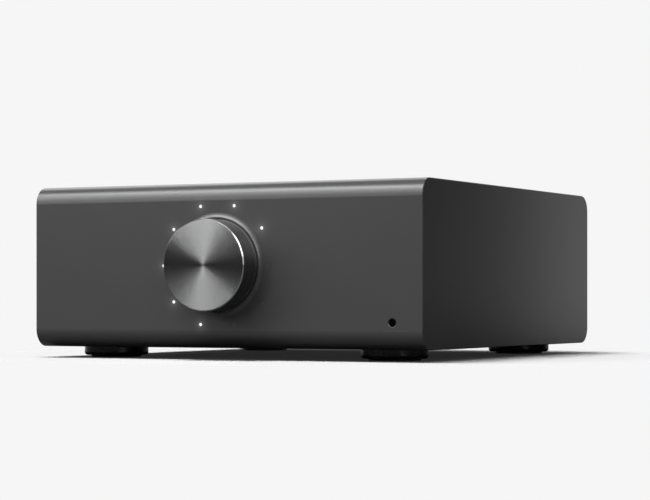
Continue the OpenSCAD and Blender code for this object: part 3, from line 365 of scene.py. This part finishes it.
# winding tape: overlapping turns of yellow tape
tapeSet = {"tone": (0.62, 0.42, 0.06), "turns": 45, "waver": 0.4, "rough": (0.25, 0.4), "grain": 300,
           "bump": 0.3, "depth": 0.0001}
windingTape, tree, shader = startMaterial("windingTape")
bands = addNode(tree, "ShaderNodeTexWave", {"bands_direction": "Y", "wave_profile": "SAW"}, {
    "Vector": objectPlace(tree), "Scale": tapeSet["turns"], "Distortion": tapeSet["waver"]}).outputs["Fac"]
wire(tree, shader, "Base Color", tint(tree, bands, shade(tapeSet["tone"], 0.8), shade(tapeSet["tone"], 1.1)))
roughFrom(tree, shader, grain(tree, tapeSet["grain"]), tapeSet["rough"])
bumpFrom(tree, shader, bands, tapeSet["bump"], tapeSet["depth"])
dress(windingTape, "transformer_winding")

# capacitor sleeves: dark shrink film with a pale stripe and a bare top
sleeveSet = {"tone": (0.016, 0.02, 0.04), "stripe": (0.35, 0.37, 0.4), "top": (0.62, 0.62, 0.63),
             "stripeFrom": 0.86, "topFrom": 0.8, "rough": (0.22, 0.36), "grain": 800}
capacitorSleeve, tree, shader = startMaterial("capacitorSleeve")
outward = addNode(tree, "ShaderNodeNewGeometry", {}, {}).outputs["Normal"]
facing = addNode(tree, "ShaderNodeSeparateXYZ", {}, {0: outward})
isTop = calc(tree, "GREATER_THAN", facing.outputs[2], sleeveSet["topFrom"])
isStripe = calc(tree, "GREATER_THAN", facing.outputs[0], sleeveSet["stripeFrom"])
film = tint(tree, isStripe, shade(sleeveSet["tone"], 1), shade(sleeveSet["stripe"], 1))
wire(tree, shader, "Base Color", tint(tree, isTop, film, shade(sleeveSet["top"], 1)))
wire(tree, shader, "Metallic", isTop)
roughFrom(tree, shader, grain(tree, sleeveSet["grain"]), sleeveSet["rough"])
dress(capacitorSleeve, "supply_capacitors")

# indicator chips behind the light points
ledSet = {"tone": (0.7, 0.68, 0.6), "rough": (0.3, 0.45), "grain": 1600}
ledChip, tree, shader = startMaterial("ledChip")
speck = grain(tree, ledSet["grain"])
wire(tree, shader, "Base Color", tint(tree, speck, shade(ledSet["tone"], 0.85), shade(ledSet["tone"], 1.1)))
roughFrom(tree, shader, speck, ledSet["rough"])
dress(ledChip, "indicator_leds")

# wiring: red on the right, grey on the left, with painted shade in the grooves between the cores
wireSet = {"red": (0.28, 0.022, 0.02), "grey": (0.16, 0.16, 0.165), "groove": (0.02, 0.02, 0.02), "cores": 70,
           "rough": (0.38, 0.5), "grain": 900, "bump": 0.4, "depth": 0.0002}
wireSleeve, tree, shader = startMaterial("wireSleeve")
cores = addNode(tree, "ShaderNodeTexWave", {"bands_direction": "X"},
                {"Vector": objectPlace(tree), "Scale": wireSet["cores"]}).outputs["Fac"]
side = addNode(tree, "ShaderNodeSeparateXYZ", {}, {0: objectPlace(tree)}).outputs[0]
isGrey = calc(tree, "LESS_THAN", side, 0.0)
coat = tint(tree, isGrey, shade(wireSet["red"], 1), shade(wireSet["grey"], 1))
# painted shade: the grooves between the cores are coloured near black
wire(tree, shader, "Base Color", tint(tree, cores, shade(wireSet["groove"], 1), coat))
roughFrom(tree, shader, grain(tree, wireSet["grain"]), wireSet["rough"])
bumpFrom(tree, shader, cores, wireSet["bump"], wireSet["depth"])
dress(wireSleeve, "internal_wiring")
print("finishes set")

touch = 0.0001  # places closer than this count as the same


# helpers for the pieces modelled here
def startPiece(name):
    piece = bpy.context.object
    piece.name = name
    bpy.ops.object.transform_apply(location=True, rotation=True, scale=True)
    return piece


def pickFaces(piece, test):
    bpy.ops.mesh.select_mode(type="FACE")
    bpy.ops.mesh.select_all(action="DESELECT")
    bpy.ops.object.mode_set(mode="OBJECT")
    for face in piece.data.polygons:
        face.select = test(face.center, face.normal)
    bpy.ops.object.mode_set(mode="EDIT")


def pickEdges(piece, test):
    bpy.ops.mesh.select_mode(type="EDGE")
    bpy.ops.mesh.select_all(action="DESELECT")
    bpy.ops.object.mode_set(mode="OBJECT")
    points = piece.data.vertices
    for edge in piece.data.edges:
        edge.select = test(points[edge.vertices[0]].co, points[edge.vertices[1]].co)
    bpy.ops.object.mode_set(mode="EDIT")


def pickPoints(piece, test):
    bpy.ops.mesh.select_mode(type="VERT")
    bpy.ops.mesh.select_all(action="DESELECT")
    bpy.ops.object.mode_set(mode="OBJECT")
    for point in piece.data.vertices:
        point.select = test(point.co)
    bpy.ops.object.mode_set(mode="EDIT")


def closePiece(angle=35):
    bpy.ops.mesh.select_all(action="SELECT")
    bpy.ops.mesh.normals_make_consistent(inside=False)
    bpy.ops.object.mode_set(mode="OBJECT")
    bpy.ops.object.shade_smooth_by_angle(angle=math.radians(angle))


def joinPieces(name, pieces):
    bpy.ops.object.select_all(action="DESELECT")
    for piece in pieces:
        piece.select_set(True)
    bpy.context.view_layer.objects.active = pieces[0]
    bpy.ops.object.join()
    pieces[0].name = name
    return pieces[0]


def copyAlong(piece, moves):
    made = [piece]
    for move in moves:
        bpy.ops.object.select_all(action="DESELECT")
        piece.select_set(True)
        bpy.context.view_layer.objects.active = piece
        bpy.ops.object.duplicate(linked=False)
        twin = bpy.context.object
        bpy.ops.transform.translate(value=move)
        bpy.ops.object.transform_apply(location=True, rotation=True, scale=True)
        made.append(twin)
    return made


def turnOf(point):
    return math.degrees(math.atan2(point.y, point.x)) % 360


# foot pads: moulded rings on the face that meets the table
padSet = {"reach": 0.0125, "high": 0.002, "sides": 72, "foot": (0.077, 0.079), "edge": 0.0003,
          "rings": 4, "land": 0.0011, "groove": 0.0004, "grooveWide": 0.0006, "grooveSlope": 0.0002}
footX, footY = padSet["foot"]
bpy.ops.object.select_all(action="DESELECT")
bpy.ops.mesh.primitive_cylinder_add(vertices=padSet["sides"], radius=padSet["reach"], depth=padSet["high"],
                                    location=(-footX, -footY, padSet["high"] / 2))
pad = startPiece("footPads")
bpy.ops.object.mode_set(mode="EDIT")
pickEdges(pad, lambda a, b: max(a.z, b.z) < touch)
bpy.ops.mesh.bevel(offset=padSet["edge"], segments=3, affect="EDGES")
pickFaces(pad, lambda centre, normal: normal.z < -0.999 and centre.z < touch)
for ring in range(padSet["rings"]):
    bpy.ops.mesh.inset(thickness=padSet["land"], depth=0)
    bpy.ops.mesh.inset(thickness=padSet["grooveSlope"], depth=-padSet["groove"])
    bpy.ops.mesh.inset(thickness=padSet["grooveWide"], depth=0)
    bpy.ops.mesh.inset(thickness=padSet["grooveSlope"], depth=padSet["groove"])
closePiece()
footPads = joinPieces("footPads", copyAlong(pad, [(2 * footX, 0, 0), (0, 2 * footY, 0), (2 * footX, 2 * footY, 0)]))
footPads.data.materials.append(finishes["padRubber"])
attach(footPads, "chassis")
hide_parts("foot_pads")
print("foot pads made")

# aerial socket: hex shoulder, threaded barrel, insulator and bore
aerialSet = {"axis": (-0.008, 0.061), "panel": 0.1095, "out": 0.0105, "reach": 0.0047, "sides": 40,
             "cuts": 25, "root": 0.915, "threadFrom": 0.0022, "threadTo": 0.0100,
             "rimWall": 0.0007, "rimSlope": 0.0001, "faceIn": 0.0007, "faceReach": 0.0039, "faceWall": 0.0029,
             "boreSlope": 0.00002, "boreIn": 0.006, "neck": 0.004, "neckIn": 0.012,
             "hexReach": 0.00635, "hexThick": 0.002, "hexEdge": 0.0004}
axisX, axisZ = aerialSet["axis"]
panelY = aerialSet["panel"]
tipY = panelY + aerialSet["out"]
pitch = aerialSet["out"] / (aerialSet["cuts"] + 1)


# every second ring of points along the thread
def atRoot(point):
    along = point.y - panelY
    return aerialSet["threadFrom"] < along < aerialSet["threadTo"] and round(along / pitch) % 2 == 1


bpy.ops.object.select_all(action="DESELECT")
bpy.ops.mesh.primitive_cylinder_add(vertices=aerialSet["sides"], radius=aerialSet["reach"], depth=aerialSet["out"],
                                    location=(axisX, panelY + aerialSet["out"] / 2, axisZ),
                                    rotation=(math.radians(90), 0, 0))
barrel = startPiece("aerialBarrel")
bpy.ops.object.mode_set(mode="EDIT")
pickEdges(barrel, lambda a, b: abs(a.y - b.y) > aerialSet["out"] / 2)
bpy.ops.mesh.subdivide(number_cuts=aerialSet["cuts"])
pickPoints(barrel, atRoot)
bpy.ops.transform.resize(value=(aerialSet["root"], 1, aerialSet["root"]), center_override=(axisX, panelY, axisZ))
pickFaces(barrel, lambda centre, normal: normal.y > 0.9 and centre.y > tipY - touch)
bpy.ops.mesh.inset(thickness=aerialSet["rimWall"], depth=0)
bpy.ops.mesh.inset(thickness=aerialSet["rimSlope"], depth=-aerialSet["faceIn"])
bpy.ops.mesh.inset(thickness=aerialSet["faceWall"], depth=0)
bpy.ops.mesh.inset(thickness=aerialSet["boreSlope"], depth=-aerialSet["boreIn"])
pickFaces(barrel, lambda centre, normal: normal.y < -0.9 and centre.y < panelY + touch)
bpy.ops.mesh.inset(thickness=aerialSet["reach"] - aerialSet["neck"], depth=0)
bpy.ops.mesh.extrude_region_move(TRANSFORM_OT_translate={"value": (0, -aerialSet["neckIn"], 0)})
closePiece(30)
bpy.ops.object.select_all(action="DESELECT")
bpy.ops.mesh.primitive_cylinder_add(vertices=6, radius=aerialSet["hexReach"], depth=aerialSet["hexThick"],
                                    location=(axisX, panelY + aerialSet["hexThick"] / 2, axisZ),
                                    rotation=(math.radians(90), math.radians(30), 0))
hexShoulder = startPiece("aerialHex")
bpy.ops.object.mode_set(mode="EDIT")
pickEdges(hexShoulder, lambda a, b: min(a.y, b.y) > panelY + aerialSet["hexThick"] / 2)
bpy.ops.mesh.bevel(offset=aerialSet["hexEdge"], segments=2, affect="EDGES")
closePiece(25)
aerialSocket = joinPieces("aerialSocket", [barrel, hexShoulder])
aerialSocket.data.materials.append(finishes["zincPlate"])
aerialSocket.data.materials.append(finishes["whiteMoulding"])
for face in aerialSocket.data.polygons:
    fromAxis = math.hypot(face.center.x - axisX, face.center.z - axisZ)
    fromFace = abs(face.center.y - (tipY - aerialSet["faceIn"]))
    if face.normal.y > 0.9 and fromFace < touch and fromAxis < aerialSet["faceReach"]:
        face.material_index = 1
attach(aerialSocket, "chassis")
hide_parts("antenna_socket")
print("aerial socket made")

# network socket: eight sprung contacts under the roof of its mouth
contactSet = {"firstX": -0.01157, "pitch": 0.00102, "count": 8, "size": (0.00045, 0.0072, 0.0003),
              "centre": (0.1042, 0.0402), "slope": 24, "bend": [(0, -0.0009, 0.0001), (0, -0.0018, 0.0004)],
              "longEdge": 0.0004, "edge": 0.00008}
bpy.ops.object.select_all(action="DESELECT")
bpy.ops.mesh.primitive_cube_add(size=1, location=(contactSet["firstX"], *contactSet["centre"]),
                                rotation=(math.radians(contactSet["slope"]), 0, 0))
bpy.context.object.scale = contactSet["size"]
contact = startPiece("networkContact")
bpy.ops.object.mode_set(mode="EDIT")
pickFaces(contact, lambda centre, normal: normal.y < -0.85)
for move in contactSet["bend"]:
    bpy.ops.mesh.extrude_region_move(TRANSFORM_OT_translate={"value": move})
pickEdges(contact, lambda a, b: abs(a.x - b.x) < touch and abs(a.y - b.y) > contactSet["longEdge"])
bpy.ops.mesh.bevel(offset=contactSet["edge"], segments=2, affect="EDGES")
closePiece()
networkContacts = joinPieces("networkContacts", copyAlong(
    contact, [(contactSet["pitch"] * number, 0, 0) for number in range(1, contactSet["count"])]))
networkContacts.data.materials.append(finishes["goldPlate"])
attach(networkContacts, "chassis")
print("network contacts made")

# power rocker: moulded bar and ring that mark on and off
markSet = {"bar": (0.00055, 0.0004, 0.0032), "barPlace": (0.11142, 0.04946), "barTilt": -0.97, "barEdge": 0.0001,
           "ringReach": 0.0017, "ringWall": 0.00045, "ringThick": 0.0004, "ringSides": 48,
           "ringPlace": (0.11248, 0.04193), "ringTilt": 16.97}
markX = sum(corner[0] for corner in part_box("power_rocker")) / 2
bpy.ops.object.select_all(action="DESELECT")
bpy.ops.mesh.primitive_cube_add(size=1, location=(markX, *markSet["barPlace"]),
                                rotation=(math.radians(markSet["barTilt"]), 0, 0))
bpy.context.object.scale = markSet["bar"]
markBar = startPiece("rockerBar")
bpy.ops.object.mode_set(mode="EDIT")
pickEdges(markBar, lambda a, b: min(a.y, b.y) > markSet["barPlace"][0] + touch)
bpy.ops.mesh.bevel(offset=markSet["barEdge"], segments=3, affect="EDGES")
closePiece()
ringCentre = (markX, *markSet["ringPlace"])
inner = markSet["ringReach"] - markSet["ringWall"] + touch
bpy.ops.object.select_all(action="DESELECT")
bpy.ops.mesh.primitive_cylinder_add(vertices=markSet["ringSides"], radius=markSet["ringReach"],
                                    depth=markSet["ringThick"], location=ringCentre,
                                    rotation=(math.radians(90 + markSet["ringTilt"]), 0, 0))
markRing = startPiece("rockerRing")
bpy.ops.object.mode_set(mode="EDIT")
pickFaces(markRing, lambda centre, normal: abs(normal.y) > 0.9)
bpy.ops.mesh.inset(thickness=markSet["ringWall"], depth=0, use_individual=True)
bpy.ops.mesh.delete(type="FACE")
pickEdges(markRing, lambda a, b: max(math.dist(a, ringCentre), math.dist(b, ringCentre)) < inner)
bpy.ops.mesh.bridge_edge_loops()
closePiece()
rockerMarks = joinPieces("rockerMarks", [markBar, markRing])
rockerMarks.data.materials.append(finishes["whiteMoulding"])
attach(rockerMarks, "power_rocker")
print("rocker marks made")

# floor: pale paper that keeps the shadow near the object and runs out to plain white
floorSet = {"size": 60, "tone": (0.80, 0.80, 0.80), "fibre": 40, "spread": 0.005, "rough": 0.95, "lift": 0.018,
            "white": 0.922, "fadeFrom": 0.150, "fadeTo": 0.200}
bpy.ops.object.select_all(action="DESELECT")
bpy.ops.mesh.primitive_plane_add(size=floorSet["size"], location=(0, 0, 0))
floor = bpy.context.object
floor.name = "floor"
floorPaper, tree, shader = startMaterial("floorPaper")
shader.inputs["Roughness"].default_value = floorSet["rough"]
shader.inputs["Specular IOR Level"].default_value = 0
fibre = grain(tree, floorSet["fibre"])
wire(tree, shader, "Base Color", spreadTone(tree, fibre, floorSet["tone"], floorSet["spread"]))
shader.inputs["Emission Color"].default_value = grey(1)
shader.inputs["Emission Strength"].default_value = floorSet["lift"]
fromMiddle = addNode(tree, "ShaderNodeVectorMath", {"operation": "LENGTH"}, {0: objectPlace(tree)}).outputs["Value"]
runOut = between(tree, fromMiddle, floorSet["fadeFrom"], floorSet["fadeTo"], 0, 1, True)
glowPaper = addNode(tree, "ShaderNodeEmission", {}, {"Color": grey(floorSet["white"]), "Strength": 1})
paperMix = addNode(tree, "ShaderNodeMixShader", {}, {0: runOut, 1: shader.outputs[0], 2: glowPaper.outputs[0]})
tree.links.new(paperMix.outputs[0], tree.nodes["Material Output"].inputs["Surface"])
floorPaper.cycles.emission_sampling = "NONE"
floor.data.materials.append(floorPaper)

# white surround for what is seen directly or in metal and glass, a dimmer one for the fill light
worldSet = {"white": 0.922, "fill": 0.25}
world = bpy.data.worlds.new("studio")
scene.world = world
world.use_nodes = True
world.cycles.sampling_method = "NONE"
tree = world.node_tree
path = addNode(tree, "ShaderNodeLightPath", {}, {})
seen = calc(tree, "MAXIMUM", path.outputs["Is Camera Ray"],
            calc(tree, "MAXIMUM", path.outputs["Is Glossy Ray"], path.outputs["Is Transmission Ray"]))
surround = tree.nodes["Background"]
surround.inputs["Color"].default_value = grey(1)
wire(tree, surround, "Strength", between(tree, seen, 0, 1, worldSet["fill"], worldSet["white"]))
print("floor and surround made")

# soft boxes, by compass turn, height and opening in degrees; one lights the paper, the rest are seen in the metal
lampSet = {
    "zenith": {"turn": 225, "rise": 77, "wide": 22, "tall": 22, "level": 20.1, "serves": "paper"},
    "backLow": {"turn": 135, "rise": 41, "wide": 30, "tall": 26, "level": 1.7, "serves": "metal"},
    "frontTop": {"turn": 247, "rise": 55, "wide": 50, "tall": 16, "level": 11.3, "serves": "metal"},
    "frontHigh": {"turn": 240, "rise": 38, "wide": 50, "tall": 16, "level": 4.1, "serves": "metal"},
    "frontMid": {"turn": 240, "rise": 22, "wide": 64, "tall": 12, "level": 1.9, "serves": "metal"},
    "frontLow": {"turn": 240, "rise": 12.5, "wide": 12, "tall": 7, "level": 3.4, "serves": "metal"},
    "leftLow": {"turn": 200, "rise": 9, "wide": 36, "tall": 12, "level": 0.35, "serves": "metal"},
    "leftMid": {"turn": 205, "rise": 24, "wide": 30, "tall": 16, "level": 9, "serves": "metal"},
    "topFill": {"turn": 238, "rise": 78, "wide": 50, "tall": 24, "level": 0.5, "serves": "metal"},
    "rightWall": {"turn": 308, "rise": 33, "wide": 40, "tall": 38, "level": 3.2, "serves": "metal"},
    "rightStrip": {"turn": 322, "rise": 29, "wide": 14, "tall": 64, "level": 1.5, "serves": "metal"},
}
rigSet = {"span": 2.4, "middle": 0.045}  # how far off the boxes hang, and the height that they face


def softBox(name, place, rotation, wide, tall, level, serves):
    bpy.ops.object.select_all(action="DESELECT")
    bpy.ops.object.light_add(type="AREA", location=place, rotation=rotation)
    box = bpy.context.object
    box.name = name
    box.data.shape = "RECTANGLE"
    box.data.size = wide
    box.data.size_y = tall
    box.data.energy = level * math.pi * wide * tall
    box.visible_camera = False
    box.visible_diffuse = serves == "paper"
    box.visible_glossy = serves == "metal"


def openingAt(span, angle):
    return 2 * span * math.tan(math.radians(angle / 2))


for name, lamp in lampSet.items():
    span = rigSet["span"]
    turn, rise = math.radians(lamp["turn"]), math.radians(lamp["rise"])
    place = (span * math.cos(rise) * math.cos(turn), span * math.cos(rise) * math.sin(turn),
             rigSet["middle"] + span * math.sin(rise))
    softBox(name, place, (math.pi / 2 - rise, 0, turn + math.pi / 2), openingAt(span, lamp["wide"]),
            openingAt(span, lamp["tall"]), lamp["level"], lamp["serves"])

# a narrow box behind on the right, which the side's rear half reflects
sideBoxSet = {"place": (0.15, 0.25, 0.09), "wide": 0.09, "tall": 0.20, "level": 0.45}
softBox("sideBox", sideBoxSet["place"], (math.radians(-90), 0, 0), sideBoxSet["wide"], sideBoxSet["tall"],
        sideBoxSet["level"], "metal")
print("lamps placed")

# dark studio flags that only the metal sees: a round wall with an opening behind, a roof and cards on the floor
flagSet = {"reach": 3.2, "sides": 72, "high": 3.2, "openFrom": 85, "openTo": 150, "tone": 0.015, "greyTone": 0.17,
           "cardHigh": 0.0004,
           "cards": [(-3.2, 3.2, -3.2, -0.45), (0.6, 3.2, -0.45, 1.6), (0.05, 0.6, -0.06, 1.6)],
           "greyCards": [(-0.6, 0.6, -0.45, -0.06)]}


def clothFinish(name, tone):
    material, tree, shader = startMaterial(name)
    shader.inputs["Base Color"].default_value = grey(tone)
    shader.inputs["Roughness"].default_value = 1
    shader.inputs["Specular IOR Level"].default_value = 0
    return material


def onlyReflected(card, cloth):
    card.data.materials.append(cloth)
    card.visible_camera = False
    card.visible_diffuse = False
    card.visible_shadow = False
    card.visible_transmission = False


blackCloth = clothFinish("blackCloth", flagSet["tone"])
greyCloth = clothFinish("greyCloth", flagSet["greyTone"])
bpy.ops.object.select_all(action="DESELECT")
bpy.ops.mesh.primitive_cylinder_add(vertices=flagSet["sides"], radius=flagSet["reach"], depth=flagSet["high"],
                                    end_fill_type="NOTHING", location=(0, 0, flagSet["high"] / 2))
flagWall = startPiece("flagWall")
bpy.ops.object.mode_set(mode="EDIT")
pickFaces(flagWall, lambda centre, normal: flagSet["openFrom"] < turnOf(centre) < flagSet["openTo"])
bpy.ops.mesh.delete(type="FACE")
bpy.ops.object.mode_set(mode="OBJECT")
onlyReflected(flagWall, blackCloth)
bpy.ops.object.select_all(action="DESELECT")
bpy.ops.mesh.primitive_circle_add(vertices=flagSet["sides"], radius=flagSet["reach"], fill_type="NGON",
                                  location=(0, 0, flagSet["high"]))
flagRoof = startPiece("flagRoof")
onlyReflected(flagRoof, blackCloth)
cards = [(card, blackCloth) for card in flagSet["cards"]] + [(card, greyCloth) for card in flagSet["greyCards"]]
for number, ((fromX, toX, fromY, toY), cloth) in enumerate(cards):
    bpy.ops.object.select_all(action="DESELECT")
    bpy.ops.mesh.primitive_plane_add(size=1, location=((fromX + toX) / 2, (fromY + toY) / 2, flagSet["cardHigh"]))
    card = bpy.context.object
    card.name = "floorCard" + str(number)
    card.scale = (toX - fromX, toY - fromY, 1)
    onlyReflected(card, cloth)
print("flags placed")
